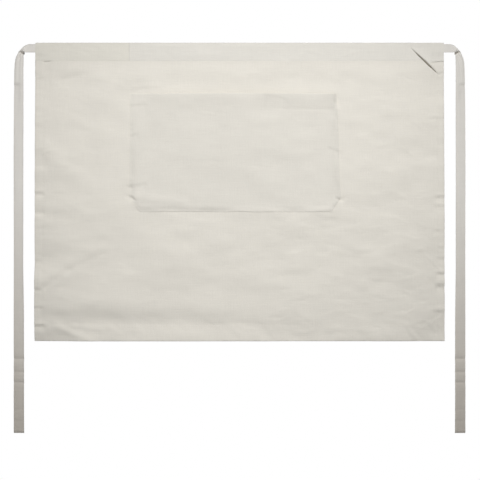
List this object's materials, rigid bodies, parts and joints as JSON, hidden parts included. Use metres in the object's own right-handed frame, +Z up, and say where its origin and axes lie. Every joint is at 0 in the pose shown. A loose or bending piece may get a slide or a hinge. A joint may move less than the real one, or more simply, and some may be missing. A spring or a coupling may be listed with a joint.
{
  "type": "half waist apron",
  "caption": "Wide half waist apron in plain linen, with a folded waistband, a broad patch pocket with clipped lower corners, turned hems and flat ties that hang free.",
  "frame": {"origin": "middle of the waistband's top edge, half way through its thickness", "axes": "+Z up, +X along the waistband to the viewer's right, -Y the way the front faces"},
  "size_m": [0.9938, 0.0249, 0.858],
  "materials": {
    "panel_linen": "washed plain weave, matte",
    "band_linen": "washed plain weave, matte",
    "pocket_linen": "washed plain weave, matte",
    "tie_linen": "washed plain weave, matte"
  },
  "bodies": {
    "root": {"apron_panel": "panel_linen", "waistband_short": "band_linen", "waistband_long": "band_linen", "patch_pocket": "pocket_linen", "tie_right": "tie_linen", "tie_left": "tie_linen"}
  },
  "joints": []
}
